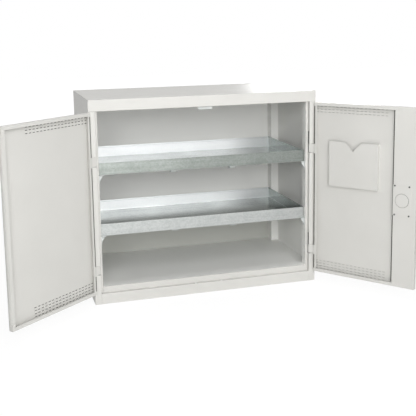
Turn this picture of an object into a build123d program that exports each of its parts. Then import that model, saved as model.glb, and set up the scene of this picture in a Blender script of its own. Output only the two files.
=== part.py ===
from build123d import *
from math import cos, radians, sin, sqrt, tan
import os

os.makedirs("parts", exist_ok=True)

# Lengths are in millimetres. X runs to the right, Y to the rear, Z up.
# The origin is on the floor, in the middle of the cupboard's front face.

# Overall size
cabinet_width = 1050.0
cabinet_depth = 525.0
cabinet_height = 910.0

# Sheet metal
carcass_sheet = 1.5
carcass_bend = 2.0
door_sheet = 1.2
door_bend = 1.8
tray_sheet = 1.2

# Front of the carcass
rail_height = 50.0
post_width = 29.0
stop_width = 11.0
post_depth = 60.0
recess_depth = 20.5
plinth_height = 47.0
sill_height = 26.0
ledge_depth = 40.0
foot_return = 25.0
rail_return_depth = 30.0
rail_lip_height = 15.0

# Rear of the carcass
rear_flange_height = 30.0
rear_return_width = 20.0
rear_upright_depth = 52.0
floor_rear_flange = 18.0

# Slots for the shelf clips
clip_slot_width = 4.0
clip_slot_height = 14.0
clip_slot_pitch = 33.3
clip_slot_first = 95.0
clip_slot_from_stop = 12.5
clip_slot_from_rear_face = 17.0

# Small holes
rod_hole_radius = 5.5
side_hole_radius = 4.0
side_hole_depth = 334.0
side_hole_from_top = 51.0

# Door stop under the top rail
stop_clip_width = 66.0
stop_clip_drop = 14.0

# Hinges
pin_from_side = 13.5
pin_from_front = 9.5
pin_radius = 4.0
pin_running_gap = 0.05
pin_head_radius = 6.5
pin_head_height = 3.0
pin_tip_chamfer = 1.0
pin_below_knuckle_top = 4.0
knuckle_radius = 6.5
lower_tab_height = 135.3
upper_tab_height = 620.3
tab_length = 40.7
tab_end_gap = 1.0
lift_slot_length = 100.0
window_outer_land = 2.5
window_depth = 17.5
lift_slot_front = 5.0
arm_thickness = 3.0
arm_inner_offset = 5.5
arm_tilt = 15.0
arm_tail = 12.0
arm_notch_gap = 0.3
leaf_leg_drop = 7.8
axial_gap = 0.3
lug_thickness = 3.0
lug_bend = 4.0
lug_width = 15.0
lug_front = 2.0
lug_reach = 20.5
lug_leg_height = 25.0

# Doors
door_thickness = 20.0
door_bottom_gap = 3.0
door_top_gap = 3.0
hinge_edge_gap = 2.0
right_edge_past_middle = 2.0
left_edge_before_middle = 6.0
rim_lip_width = 15.0
rim_miter_width = 0.5
closing_gap = 0.4
left_open_angle = 140.0
right_open_angle = 128.0

# Perforation of the doors
slot_length = 12.0
slot_height = 3.0
slot_pitch = 19.9
slot_first = 26.0
slot_columns = 18
slot_row_pitch = 13.0
top_slot_rows = 3
bottom_slot_rows = 4
top_row_below_edge = 19.0
bottom_row_above_edge = 12.0

# Closing strip on the left door
strip_sheet = 1.2
strip_bend = 1.8
strip_overlap = 14.0
strip_reach = 14.0
strip_fold = 8.0
strip_end_notch = 28.0

# Lock channel on the right door
channel_inner_edge = 409.0
channel_foot = 12.0
lock_line = 450.0
lock_height = 445.0
lock_plate_width = 84.0
lock_plate_height = 140.0
lock_plate_corner = 3.0
lock_plate_sheet = 1.2
cover_disc_radius = 30.0
cover_disc_thickness = 1.2
plate_screw_spread = 66.0
plate_screw_rise = 130.0
plate_screw_radius = 4.0
plate_screw_height = 2.0

# Document pocket
pocket_sheet = 1.0
pocket_hinge_side = 94.0
pocket_width = 239.0
pocket_bottom = 474.0
pocket_height = 209.0
pocket_depth = 16.0
pocket_notch_half_width = 41.0
pocket_notch_depth = 42.0
pocket_flange = 10.0

# Handle and lock
escutcheon_width = 50.0
escutcheon_height = 150.0
escutcheon_rise = 20.0
escutcheon_corner = 6.0
escutcheon_thickness = 2.0
hub_radius = 14.0
hub_height = 8.5
lever_length = 92.0
lever_width = 20.0
lever_thickness = 10.0
lever_edge_round = 2.5
spindle_radius = 8.0
spindle_running_gap = 0.05
skin_hole_gap = 1.0
disc_radius = 18.0
disc_thickness = 3.0
disc_skin_gap = 1.0
tenon_size = 8.0
tenon_beyond_disc = 1.0
drive_pin_circle = 12.0
drive_pin_radius = 2.5
drive_pin_overhang = 0.4
cylinder_rise = 48.0
cylinder_radius = 7.0
cylinder_running_gap = 0.05
cylinder_boss_radius = 10.0
cylinder_boss_height = 3.0
cylinder_proud = 0.3
cam_length = 34.0
cam_width = 8.0
cam_thickness = 2.6
cam_skin_gap = 0.7
cam_scoop_gap = 0.4
keyway_width = 1.8
keyway_length = 8.0
keyway_depth = 1.5

# Locking rods
rod_radius = 4.0
rod_end_back = 0.5
rod_tip_chamfer = 1.5
rod_flange_gap = 0.6
rod_end_from_spindle = 20.0
yoke_sheet = 2.5
yoke_near_edge = 3.0
yoke_far_edge = 18.0
yoke_slot_near = 5.5
yoke_slot_far = 15.0
yoke_slot_play = 0.5
yoke_land = 4.0
yoke_joint_length = 10.0
guide_half_width = 9.0
guide_thickness = 3.0
guide_below_rod = 1.5
guide_running_gap = 0.05
guide_spacing = 215.0

# Tray shelves
tray_front_gap = 13.5
tray_rear_gap = 16.0
tray_height = 53.0
upper_tray_bottom = 576.0
lower_tray_bottom = 302.0
tray_hem_height = 9.0
tray_corner_slit = 1.5
stiffener_offset = 140.0
stiffener_flange = 12.0
stiffener_width = 30.0
stiffener_depth = 12.0
stiffener_end_margin = 26.0

# Shelf clips
clip_sheet = 2.0
clip_width = 16.0
clip_shelf = 20.0
clip_drop = 32.0
clip_gusset_land = 2.0
clip_tongue_half_width = 1.5
clip_tongue_half_height = 4.0
clip_tongue_reach = 3.5
clip_lip_thickness = 1.5
clip_lip_drop = 8.0

# Positions that follow from the sizes above
half_width = cabinet_width / 2
corner_relief = carcass_bend - carcass_sheet
side_inner = half_width - carcass_sheet
post_inner = half_width - post_width
stop_inner = post_inner - stop_width
rail_bottom = cabinet_height - rail_height
top_underside = cabinet_height - carcass_sheet
back_outer = cabinet_depth - carcass_sheet
back_inner = back_outer - carcass_sheet
floor_top = plinth_height + sill_height
rear_upright_front = back_inner - rear_upright_depth
front_slot_depth = recess_depth + clip_slot_from_stop
rear_slot_depth = rear_upright_front + clip_slot_from_rear_face
clip_slot_room = rail_bottom - clip_slot_height - clip_slot_first
clip_slot_count = int(clip_slot_room / clip_slot_pitch) + 1
side_hole_height = cabinet_height - side_hole_from_top
tray_half_width = stop_inner - clip_sheet
tray_front = recess_depth + tray_front_gap
tray_depth = back_inner - tray_rear_gap - tray_front
pin_across = half_width - pin_from_side
right_free_edge = pin_across + right_edge_past_middle
left_free_edge = pin_across - left_edge_before_middle
hinge_edge = pin_across - post_inner + hinge_edge_gap
door_bottom = plinth_height + door_bottom_gap
door_top = rail_bottom - door_top_gap
skin_outer = -pin_from_front
skin_inner = skin_outer + door_sheet
left_rim = skin_outer + door_thickness
right_rim = left_rim - closing_gap
rod_across = pin_across - lock_line
tab_heights = [lower_tab_height, upper_tab_height]

LEFT = -1
RIGHT = 1


def between(first, second):
    """The two values in rising order."""
    return (min(first, second), max(first, second))


def block(plane, across, depth, height, mode=Mode.ADD):
    """Adds or cuts a block between two corners, measured in the axes of the plane."""
    middle = ((across[0] + across[1]) / 2, (depth[0] + depth[1]) / 2, (height[0] + height[1]) / 2)
    with Locations(plane.location * Location(middle)):
        Box(across[1] - across[0], depth[1] - depth[0], height[1] - height[0], mode=mode)


def sheet_profile(points, bend_radius, thickness, side):
    """Adds the cut edge of one bent sheet to the sketch that is open."""
    with BuildSketch(Plane.XY, mode=Mode.PRIVATE) as profile:
        with BuildLine():
            FilletPolyline(*points, radius=bend_radius)
            offset(amount=thickness, side=side)
        make_face()
    add(profile.sketch_local)


def toward_hollow(hand):
    """The side of a right-hand path that its mirror image needs swapped."""
    return Side.RIGHT if hand == RIGHT else Side.LEFT


def away_from_hollow(hand):
    """The opposite side of the same path."""
    return Side.LEFT if hand == RIGHT else Side.RIGHT


def clip_slot_heights():
    """The centre heights of the slots in one upright."""
    return [clip_slot_first + clip_slot_pitch * row for row in range(clip_slot_count)]


def cut_clip_slots(hand, depth):
    """Cuts one column of shelf slots through the inner face of an upright."""
    with Locations(*[(hand * stop_inner, depth, height) for height in clip_slot_heights()]):
        Box(4 * carcass_sheet, clip_slot_width, clip_slot_height, mode=Mode.SUBTRACT)


# Top sheet with the front rail, its return and the rear flange
with BuildPart() as top_panel:
    with BuildSketch(Plane.YZ):
        sheet_profile(
            [
                (rail_return_depth, rail_bottom + rail_lip_height),
                (rail_return_depth, rail_bottom),
                (0, rail_bottom),
                (0, cabinet_height),
                (cabinet_depth, cabinet_height),
                (cabinet_depth, cabinet_height - rear_flange_height),
            ],
            carcass_bend,
            carcass_sheet,
            Side.RIGHT,
        )
    extrude(amount=half_width, both=True)
    for hand in (LEFT, RIGHT):
        block(
            Plane.XY,
            between(hand * side_inner, hand * half_width),
            (carcass_sheet, back_outer),
            (rail_bottom, top_underside),
            Mode.SUBTRACT,
        )
    with BuildSketch(Plane.XY.offset(rail_bottom)):
        with Locations((-rod_across, pin_from_front), (rod_across, pin_from_front)):
            Circle(rod_hole_radius)
    extrude(amount=carcass_bend, mode=Mode.SUBTRACT)
top_panel.part.label = "top_panel"
export_step(top_panel.part, "parts/top_panel.step")


def build_side_panel(hand):
    """The outer skin of one side with its rear return and foot return."""
    with BuildPart() as panel:
        with BuildSketch():
            sheet_profile(
                [
                    (hand * half_width, carcass_sheet),
                    (hand * half_width, cabinet_depth),
                    (hand * (half_width - rear_return_width), cabinet_depth),
                ],
                carcass_bend,
                carcass_sheet,
                away_from_hollow(hand),
            )
        extrude(amount=top_underside)
        block(
            Plane.XY,
            between(0, hand * half_width),
            (cabinet_depth - carcass_bend, cabinet_depth),
            (cabinet_height - rear_flange_height, top_underside),
            Mode.SUBTRACT,
        )
        block(
            Plane.XY,
            between(hand * (half_width - foot_return), hand * (half_width - carcass_sheet / 2)),
            (post_depth, cabinet_depth - foot_return),
            (0, carcass_sheet),
        )
        with BuildSketch(Plane.YZ.offset(hand * half_width)):
            with Locations((side_hole_depth, side_hole_height)):
                Circle(side_hole_radius)
        extrude(amount=2 * carcass_sheet, both=True, mode=Mode.SUBTRACT)
    return panel


left_side_panel = build_side_panel(LEFT)
left_side_panel.part.label = "left_side_panel"
export_step(left_side_panel.part, "parts/left_side_panel.step")

right_side_panel = build_side_panel(RIGHT)
right_side_panel.part.label = "right_side_panel"
export_step(right_side_panel.part, "parts/right_side_panel.step")


def build_post(hand):
    """A hollow front post with the door stop, hinge windows and shelf slots."""
    with BuildPart() as post:
        with BuildSketch():
            sheet_profile(
                [
                    (hand * half_width, 0),
                    (hand * post_inner, 0),
                    (hand * post_inner, recess_depth),
                    (hand * stop_inner, recess_depth),
                    (hand * stop_inner, post_depth),
                    (hand * side_inner, post_depth),
                ],
                carcass_bend,
                carcass_sheet,
                toward_hollow(hand),
            )
        extrude(amount=rail_bottom)
        for tab_bottom in tab_heights:
            block(
                Plane.XY,
                between(hand * stop_inner, hand * (half_width - window_outer_land)),
                (-carcass_sheet, window_depth),
                (tab_bottom - tab_end_gap, tab_bottom + tab_length + tab_end_gap),
                Mode.SUBTRACT,
            )
            block(
                Plane.XY,
                between(hand * stop_inner, hand * pin_across),
                (lift_slot_front, window_depth),
                (tab_bottom, tab_bottom + lift_slot_length),
                Mode.SUBTRACT,
            )
        cut_clip_slots(hand, front_slot_depth)
    return post


left_post = build_post(LEFT)
left_post.part.label = "left_post"
export_step(left_post.part, "parts/left_post.step")

right_post = build_post(RIGHT)
right_post.part.label = "right_post"
export_step(right_post.part, "parts/right_post.step")


# Back sheet with its foot return
with BuildPart() as back_panel:
    with BuildSketch(Plane.YZ):
        sheet_profile(
            [
                (cabinet_depth - foot_return, 0),
                (back_outer, 0),
                (back_outer, top_underside - corner_relief),
            ],
            carcass_bend,
            carcass_sheet,
            Side.LEFT,
        )
    extrude(amount=side_inner - corner_relief, both=True)
back_panel.part.label = "back_panel"
export_step(back_panel.part, "parts/back_panel.step")


# Raised floor with its sill, notched around the posts and uprights
with BuildPart() as floor_panel:
    with BuildSketch(Plane.YZ):
        sheet_profile(
            [
                (recess_depth, plinth_height),
                (recess_depth, floor_top),
                (back_inner, floor_top),
                (back_inner, floor_top - floor_rear_flange),
            ],
            carcass_bend,
            carcass_sheet,
            Side.RIGHT,
        )
    extrude(amount=side_inner, both=True)
    for hand in (LEFT, RIGHT):
        block(
            Plane.XY,
            between(hand * stop_inner, hand * side_inner),
            (0, post_depth),
            (0, floor_top),
            Mode.SUBTRACT,
        )
        block(
            Plane.XY,
            between(hand * stop_inner, hand * side_inner),
            (rear_upright_front, back_inner),
            (0, floor_top),
            Mode.SUBTRACT,
        )
floor_panel.part.label = "floor_panel"
export_step(floor_panel.part, "parts/floor_panel.step")


# Kick plate with the ledge that the floor stands on and its foot return
with BuildPart() as plinth:
    with BuildSketch(Plane.YZ):
        sheet_profile(
            [
                (foot_return, 0),
                (0, 0),
                (0, plinth_height),
                (ledge_depth, plinth_height),
            ],
            carcass_bend,
            carcass_sheet,
            Side.RIGHT,
        )
    extrude(amount=post_inner, both=True)
    for hand in (LEFT, RIGHT):
        block(
            Plane.XY,
            between(hand * stop_inner, hand * post_inner),
            (recess_depth, ledge_depth),
            (0, plinth_height),
            Mode.SUBTRACT,
        )
        block(
            Plane.XY,
            between(hand * (post_inner - carcass_bend), hand * post_inner),
            (recess_depth - carcass_bend, recess_depth),
            (0, plinth_height),
            Mode.SUBTRACT,
        )
    with BuildSketch(Plane.XY.offset(plinth_height)):
        with Locations((-rod_across, pin_from_front), (rod_across, pin_from_front)):
            Circle(rod_hole_radius)
    extrude(amount=-carcass_bend, mode=Mode.SUBTRACT)
plinth.part.label = "plinth"
export_step(plinth.part, "parts/plinth.step")


def build_rear_upright(hand):
    """A slotted upright that closes off one rear corner."""
    with BuildPart() as upright:
        with BuildSketch(Plane.XY.offset(carcass_bend)):
            sheet_profile(
                [
                    (hand * side_inner, rear_upright_front),
                    (hand * stop_inner, rear_upright_front),
                    (hand * stop_inner, back_inner),
                ],
                carcass_bend,
                carcass_sheet,
                toward_hollow(hand),
            )
        extrude(amount=top_underside - carcass_bend)
        cut_clip_slots(hand, rear_slot_depth)
    return upright


left_rear_upright = build_rear_upright(LEFT)
left_rear_upright.part.label = "left_rear_upright"
export_step(left_rear_upright.part, "parts/left_rear_upright.step")

right_rear_upright = build_rear_upright(RIGHT)
right_rear_upright.part.label = "right_rear_upright"
export_step(right_rear_upright.part, "parts/right_rear_upright.step")


# Bright stop that the doors meet under the top rail
with BuildPart() as top_stop_clip:
    with BuildSketch(Plane.YZ):
        sheet_profile(
            [
                (recess_depth, rail_bottom - stop_clip_drop),
                (recess_depth, rail_bottom),
                (rail_return_depth, rail_bottom),
            ],
            carcass_bend,
            carcass_sheet,
            Side.RIGHT,
        )
    extrude(amount=stop_clip_width / 2, both=True)
top_stop_clip.part.label = "top_stop_clip"
export_step(top_stop_clip.part, "parts/top_stop_clip.step")


def lug_top(tab_bottom):
    """The height of the lug under one hinge knuckle."""
    return tab_bottom - axial_gap


def build_hinge_bracket(hand, tab_bottom):
    """A bent lug plate on the side skin, with the hole for its pin."""
    top = lug_top(tab_bottom)
    with BuildPart() as bracket:
        with BuildSketch(Plane.XZ.offset(-(lug_front + lug_width))):
            sheet_profile(
                [
                    (hand * (side_inner - lug_reach), top),
                    (hand * side_inner, top),
                    (hand * side_inner, top - lug_leg_height),
                ],
                lug_bend,
                lug_thickness,
                toward_hollow(hand),
            )
        extrude(amount=lug_width)
        with BuildSketch(Plane.XY.offset(top)):
            with Locations((hand * pin_across, pin_from_front)):
                Circle(pin_radius)
        extrude(amount=-lug_thickness, mode=Mode.SUBTRACT)
    return bracket


left_lower_hinge_bracket = build_hinge_bracket(LEFT, lower_tab_height)
left_lower_hinge_bracket.part.label = "left_lower_hinge_bracket"
export_step(left_lower_hinge_bracket.part, "parts/left_lower_hinge_bracket.step")

left_upper_hinge_bracket = build_hinge_bracket(LEFT, upper_tab_height)
left_upper_hinge_bracket.part.label = "left_upper_hinge_bracket"
export_step(left_upper_hinge_bracket.part, "parts/left_upper_hinge_bracket.step")

right_lower_hinge_bracket = build_hinge_bracket(RIGHT, lower_tab_height)
right_lower_hinge_bracket.part.label = "right_lower_hinge_bracket"
export_step(right_lower_hinge_bracket.part, "parts/right_lower_hinge_bracket.step")

right_upper_hinge_bracket = build_hinge_bracket(RIGHT, upper_tab_height)
right_upper_hinge_bracket.part.label = "right_upper_hinge_bracket"
export_step(right_upper_hinge_bracket.part, "parts/right_upper_hinge_bracket.step")


# Four pins, each riveted under its lug
with BuildPart() as hinge_pins:
    for hand in (LEFT, RIGHT):
        for tab_bottom in tab_heights:
            lug_underside = lug_top(tab_bottom) - lug_thickness
            pin_top = tab_bottom + tab_length - pin_below_knuckle_top
            with BuildSketch(Plane.XY.offset(lug_underside)):
                with Locations((hand * pin_across, pin_from_front)):
                    Circle(pin_radius)
            extrude(amount=pin_top - lug_underside)
            with BuildSketch(Plane.XY.offset(lug_underside)):
                with Locations((hand * pin_across, pin_from_front)):
                    Circle(pin_head_radius)
            extrude(amount=-pin_head_height)
            tip_edge = hinge_pins.edges().filter_by_position(Axis.Z, pin_top, pin_top)
            chamfer(tip_edge.sort_by(Axis.X)[0 if hand == LEFT else -1], length=pin_tip_chamfer)
hinge_pins.part.label = "hinge_pins"
export_step(hinge_pins.part, "parts/hinge_pins.step")


def build_tray(bottom):
    """A galvanised pan with hemmed walls and open corner seams."""
    front_inner = tray_front + tray_sheet
    rear = tray_front + tray_depth
    rear_inner = rear - tray_sheet
    side_face = tray_half_width - tray_sheet
    top = bottom + tray_height
    with BuildPart() as tray:
        block(
            Plane.XY,
            (-tray_half_width, tray_half_width),
            (tray_front, rear),
            (bottom, top),
        )
        block(
            Plane.XY,
            (-side_face, side_face),
            (front_inner, rear_inner),
            (bottom + tray_sheet, top - tray_hem_height),
            Mode.SUBTRACT,
        )
        block(
            Plane.XY,
            (-side_face + tray_sheet, side_face - tray_sheet),
            (front_inner + tray_sheet, rear_inner - tray_sheet),
            (top - tray_hem_height, top),
            Mode.SUBTRACT,
        )
        for hand in (LEFT, RIGHT):
            for seam_front in (front_inner + tray_sheet, rear_inner - tray_sheet - tray_corner_slit):
                block(
                    Plane.XY,
                    between(hand * (side_face - tray_sheet), hand * tray_half_width),
                    (seam_front, seam_front + tray_corner_slit),
                    (bottom + tray_sheet, top),
                    Mode.SUBTRACT,
                )
    return tray


upper_tray = build_tray(upper_tray_bottom)
upper_tray.part.label = "upper_tray"
export_step(upper_tray.part, "parts/upper_tray.step")

lower_tray = build_tray(lower_tray_bottom)
lower_tray.part.label = "lower_tray"
export_step(lower_tray.part, "parts/lower_tray.step")


def build_tray_stiffeners(bottom):
    """Two hat channels under one tray, running front to rear."""
    channel_front = tray_front + stiffener_end_margin
    channel_length = tray_depth - 2 * stiffener_end_margin
    hat_half = stiffener_width / 2
    hat_inner = hat_half - tray_sheet
    web_top = bottom - stiffener_depth
    foot = hat_half + stiffener_flange
    with BuildPart() as stiffeners:
        for centre in (-stiffener_offset, stiffener_offset):
            with BuildSketch(Plane.XZ.offset(-channel_front - channel_length)):
                Polygon(
                    (centre - foot, bottom),
                    (centre - hat_inner, bottom),
                    (centre - hat_inner, web_top),
                    (centre + hat_inner, web_top),
                    (centre + hat_inner, bottom),
                    (centre + foot, bottom),
                    (centre + foot, bottom - tray_sheet),
                    (centre + hat_half, bottom - tray_sheet),
                    (centre + hat_half, web_top - tray_sheet),
                    (centre - hat_half, web_top - tray_sheet),
                    (centre - hat_half, bottom - tray_sheet),
                    (centre - foot, bottom - tray_sheet),
                    align=None,
                )
            extrude(amount=channel_length)
    return stiffeners


upper_tray_stiffeners = build_tray_stiffeners(upper_tray_bottom)
upper_tray_stiffeners.part.label = "upper_tray_stiffeners"
export_step(upper_tray_stiffeners.part, "parts/upper_tray_stiffeners.step")

lower_tray_stiffeners = build_tray_stiffeners(lower_tray_bottom)
lower_tray_stiffeners.part.label = "lower_tray_stiffeners"
export_step(lower_tray_stiffeners.part, "parts/lower_tray_stiffeners.step")


def build_tray_clips(bottom):
    """Four gusset clips, each hooked into a slot under one tray."""
    slot_row = int((bottom - clip_slot_first - clip_tongue_half_height) / clip_slot_pitch)
    hook_height = clip_slot_first + clip_slot_pitch * slot_row
    leg_bottom = min(bottom - clip_drop, hook_height - clip_lip_drop)
    leg_inner = stop_inner - clip_sheet
    shelf_inner = stop_inner - clip_shelf
    with BuildPart() as clips:
        for hand in (LEFT, RIGHT):
            for middle in (front_slot_depth, rear_slot_depth):
                plate = (middle - clip_width / 2, middle + clip_width / 2)
                tongue = (middle - clip_tongue_half_width, middle + clip_tongue_half_width)
                tongue_end = stop_inner + clip_tongue_reach
                block(
                    Plane.XY,
                    between(hand * leg_inner, hand * stop_inner),
                    plate,
                    (leg_bottom, bottom),
                )
                block(
                    Plane.XY,
                    between(hand * shelf_inner, hand * stop_inner),
                    plate,
                    (bottom - clip_sheet, bottom),
                )
                block(
                    Plane.XY,
                    between(hand * leg_inner, hand * tongue_end),
                    tongue,
                    (hook_height - clip_tongue_half_height, hook_height + clip_tongue_half_height),
                )
                block(
                    Plane.XY,
                    between(hand * (tongue_end - clip_lip_thickness), hand * tongue_end),
                    tongue,
                    (hook_height - clip_lip_drop, hook_height),
                )
                with BuildSketch(Plane.XZ.offset(-middle)):
                    Polygon(
                        (hand * leg_inner, bottom - clip_drop + clip_gusset_land),
                        (hand * leg_inner, bottom - clip_sheet),
                        (hand * (shelf_inner + clip_gusset_land), bottom - clip_sheet),
                        align=None,
                    )
                extrude(amount=clip_sheet / 2, both=True)
    return clips


upper_tray_clips = build_tray_clips(upper_tray_bottom)
upper_tray_clips.part.label = "upper_tray_clips"
export_step(upper_tray_clips.part, "parts/upper_tray_clips.step")

lower_tray_clips = build_tray_clips(lower_tray_bottom)
lower_tray_clips.part.label = "lower_tray_clips"
export_step(lower_tray_clips.part, "parts/lower_tray_clips.step")


def door_base(hand, open_angle):
    """The floor plane of one opened door, with its origin on the hinge axis."""
    angle = radians(open_angle)
    return Plane(
        origin=(hand * pin_across, pin_from_front, 0),
        x_dir=(cos(angle), hand * sin(angle), 0),
        z_dir=(0, 0, 1),
    )


def door_face(base, depth):
    """A plane parallel to the door that looks out of the cupboard."""
    return Plane(
        origin=base.origin + base.y_dir * depth,
        x_dir=base.x_dir,
        z_dir=base.y_dir * -1,
    )


left_base = door_base(LEFT, left_open_angle)
right_base = door_base(RIGHT, right_open_angle)


def slot_row_heights():
    """The heights of all rows of slots in a door."""
    top_rows = [door_top - top_row_below_edge - slot_row_pitch * row for row in range(top_slot_rows)]
    low_rows = [door_bottom + bottom_row_above_edge + slot_row_pitch * row for row in range(bottom_slot_rows)]
    return low_rows + top_rows


def build_door_panel(hand, base, free_edge):
    """The outer sheet of one door with its rows of slots."""
    columns = [-hand * (slot_first + slot_pitch * column) for column in range(slot_columns)]
    rows = slot_row_heights()
    with BuildPart() as panel:
        block(
            base,
            between(-hand * hinge_edge, -hand * free_edge),
            (skin_outer, skin_inner),
            (door_bottom, door_top),
        )
        with BuildSketch(door_face(base, skin_inner)):
            with Locations(*[(column, row) for column in columns for row in rows]):
                Rectangle(slot_length, slot_height)
        extrude(amount=door_sheet, mode=Mode.SUBTRACT)
    return panel


def arm_depth(offset_from_pin, across):
    """The depth of a hinge arm surface at a distance from the pin."""
    tilt = radians(arm_tilt)
    return offset_from_pin / cos(tilt) - across * tan(tilt)


def build_door_frame(hand, base, free_edge, rim):
    """The folded rim of one door with mitred lips and hinge notches."""
    flange_hinge = hinge_edge + door_sheet
    flange_free = free_edge - door_sheet
    lip_hinge = hinge_edge + rim_lip_width
    lip_free = free_edge - rim_lip_width
    lip_bottom = door_bottom + rim_lip_width
    lip_top = door_top - rim_lip_width
    with BuildPart() as frame:
        block(
            base,
            between(-hand * hinge_edge, -hand * free_edge),
            (skin_inner, rim),
            (door_bottom, door_top),
        )
        block(
            base,
            between(-hand * flange_hinge, -hand * flange_free),
            (skin_inner, rim - door_sheet),
            (door_bottom + door_sheet, door_top - door_sheet),
            Mode.SUBTRACT,
        )
        block(
            base,
            between(-hand * lip_hinge, -hand * lip_free),
            (rim - door_sheet, rim),
            (lip_bottom, lip_top),
            Mode.SUBTRACT,
        )
        for across, height, turn in (
            (lip_hinge, lip_bottom, -hand * 45),
            (lip_free, lip_bottom, hand * 45),
            (lip_hinge, lip_top, hand * 45),
            (lip_free, lip_top, -hand * 45),
        ):
            outer_across = hinge_edge if across == lip_hinge else free_edge
            outer_height = door_bottom if height == lip_bottom else door_top
            with BuildSketch(door_face(base, rim)):
                with Locations(
                    Location((-hand * (across + outer_across) / 2, (height + outer_height) / 2), turn)
                ):
                    Rectangle((rim_lip_width - door_sheet) * sqrt(2), rim_miter_width)
            extrude(amount=door_sheet, mode=Mode.SUBTRACT)
        for tab_bottom in tab_heights:
            block(
                base,
                between(-hand * hinge_edge, -hand * flange_hinge),
                (
                    arm_depth(arm_inner_offset, flange_hinge) - arm_notch_gap,
                    arm_depth(arm_inner_offset + arm_thickness, hinge_edge) + arm_notch_gap,
                ),
                (tab_bottom - arm_notch_gap, tab_bottom + tab_length + arm_notch_gap),
                Mode.SUBTRACT,
            )
    return frame


def build_hinge_leaf(hand, base, tab_bottom):
    """A knuckle, its arm through the rim and the leg inside the rim."""
    tilt = radians(arm_tilt)
    leg_inner = hinge_edge + door_sheet
    leg_outer = leg_inner + arm_thickness
    arm_outer_offset = arm_inner_offset + arm_thickness

    def arm_point(offset_from_pin, along):
        across = offset_from_pin * sin(tilt) + along * cos(tilt)
        depth = offset_from_pin * cos(tilt) - along * sin(tilt)
        return (-hand * across, depth)

    with BuildPart() as leaf:
        with BuildSketch(base.offset(tab_bottom)):
            Circle(knuckle_radius)
            Polygon(
                arm_point(arm_inner_offset, -arm_tail),
                arm_point(arm_outer_offset, -arm_tail),
                (-hand * leg_outer, arm_depth(arm_outer_offset, leg_outer)),
                (-hand * leg_outer, arm_depth(arm_inner_offset, leg_outer)),
                align=None,
            )
            Polygon(
                (-hand * leg_inner, -leaf_leg_drop),
                (-hand * leg_outer, -leaf_leg_drop),
                (-hand * leg_outer, arm_depth(arm_outer_offset, leg_outer)),
                (-hand * leg_inner, arm_depth(arm_outer_offset, leg_inner)),
                align=None,
            )
            Circle(pin_radius + pin_running_gap, mode=Mode.SUBTRACT)
        extrude(amount=tab_length)
    return leaf


left_door_panel = build_door_panel(LEFT, left_base, left_free_edge)
left_door_panel.part.label = "left_door_panel"
export_step(left_door_panel.part, "parts/left_door_panel.step")

left_door_frame = build_door_frame(LEFT, left_base, left_free_edge, left_rim)
left_door_frame.part.label = "left_door_frame"
export_step(left_door_frame.part, "parts/left_door_frame.step")

left_lower_hinge_leaf = build_hinge_leaf(LEFT, left_base, lower_tab_height)
left_lower_hinge_leaf.part.label = "left_lower_hinge_leaf"
export_step(left_lower_hinge_leaf.part, "parts/left_lower_hinge_leaf.step")

left_upper_hinge_leaf = build_hinge_leaf(LEFT, left_base, upper_tab_height)
left_upper_hinge_leaf.part.label = "left_upper_hinge_leaf"
export_step(left_upper_hinge_leaf.part, "parts/left_upper_hinge_leaf.step")


# Strip on the free edge of the left door that the right door closes against
with BuildPart() as closing_strip:
    with BuildSketch(left_base.offset(door_bottom + strip_end_notch)):
        sheet_profile(
            [
                (left_free_edge - strip_overlap, left_rim),
                (left_free_edge + strip_reach, left_rim),
                (left_free_edge + strip_reach, left_rim + strip_fold),
            ],
            strip_bend,
            strip_sheet,
            Side.LEFT,
        )
    extrude(amount=door_top - door_bottom - 2 * strip_end_notch)
closing_strip.part.label = "closing_strip"
export_step(closing_strip.part, "parts/closing_strip.step")


# Outer sheet of the right door, drilled for the spindle and the cylinder
right_door_sheet = build_door_panel(RIGHT, right_base, right_free_edge)
with BuildPart() as right_door_panel:
    add(right_door_sheet.part)
    with BuildSketch(door_face(right_base, skin_inner)):
        with Locations((-lock_line, lock_height)):
            Circle(spindle_radius + skin_hole_gap)
        with Locations((-lock_line, lock_height + cylinder_rise)):
            Circle(cylinder_radius + skin_hole_gap)
    extrude(amount=door_sheet, mode=Mode.SUBTRACT)
right_door_panel.part.label = "right_door_panel"
export_step(right_door_panel.part, "parts/right_door_panel.step")

# Rim of the right door with the two holes for the rods
right_door_rim = build_door_frame(RIGHT, right_base, right_free_edge, right_rim)
with BuildPart() as right_door_frame:
    add(right_door_rim.part)
    for flange_bottom in (door_bottom, door_top - door_sheet):
        with BuildSketch(right_base.offset(flange_bottom)):
            with Locations((-lock_line, 0)):
                Circle(rod_radius + rod_flange_gap)
        extrude(amount=door_sheet, mode=Mode.SUBTRACT)
right_door_frame.part.label = "right_door_frame"
export_step(right_door_frame.part, "parts/right_door_frame.step")

right_lower_hinge_leaf = build_hinge_leaf(RIGHT, right_base, lower_tab_height)
right_lower_hinge_leaf.part.label = "right_lower_hinge_leaf"
export_step(right_lower_hinge_leaf.part, "parts/right_lower_hinge_leaf.step")

right_upper_hinge_leaf = build_hinge_leaf(RIGHT, right_base, upper_tab_height)
right_upper_hinge_leaf.part.label = "right_upper_hinge_leaf"
export_step(right_upper_hinge_leaf.part, "parts/right_upper_hinge_leaf.step")


# Channel over the rods, level with the rim lips
with BuildPart() as lock_channel:
    with BuildSketch(right_base.offset(door_bottom + rim_lip_width)):
        sheet_profile(
            [
                (-(right_free_edge - rim_lip_width), right_rim),
                (-channel_inner_edge, right_rim),
                (-channel_inner_edge, skin_inner + door_sheet),
                (-(channel_inner_edge - channel_foot), skin_inner + door_sheet),
            ],
            door_bend,
            door_sheet,
            Side.RIGHT,
        )
    extrude(amount=door_top - door_bottom - 2 * rim_lip_width)
lock_channel.part.label = "lock_channel"
export_step(lock_channel.part, "parts/lock_channel.step")


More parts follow.
